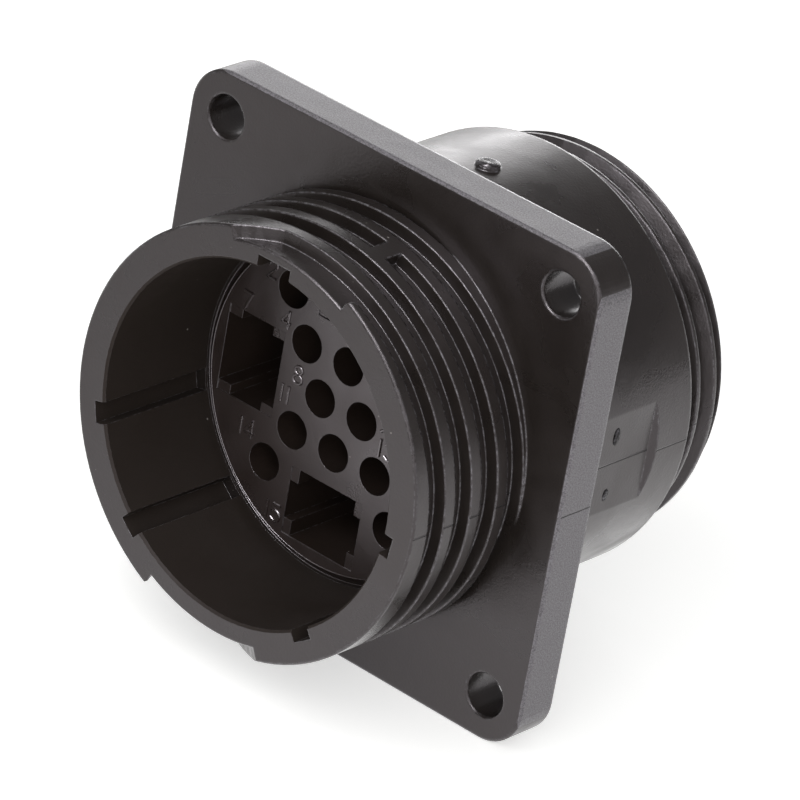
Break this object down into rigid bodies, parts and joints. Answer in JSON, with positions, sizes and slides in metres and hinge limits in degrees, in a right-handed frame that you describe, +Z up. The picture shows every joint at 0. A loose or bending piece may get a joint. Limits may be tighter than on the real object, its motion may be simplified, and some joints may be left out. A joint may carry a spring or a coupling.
{
  "type": "circular panel mount connector housing",
  "caption": "Black moulded circular connector with a square screw flange, keyed threaded front cup, insert with open round and square contact cavities, plain rear barrel and rear clamp thread.",
  "frame": {"origin": "on the connector's axis, in the rear face of the flange that bears on the panel", "axes": "-Y along the axis out of the mating cup, +Y out of the rear end, +Z up through the main keyway, +X to the right as seen from the mating end"},
  "size_m": [0.0444, 0.0405, 0.0444],
  "materials": {
    "shell": "satin moulded black nylon",
    "insert": "satin moulded black nylon"
  },
  "bodies": {
    "root": {"shell": "shell", "insert": "insert"}
  },
  "joints": []
}
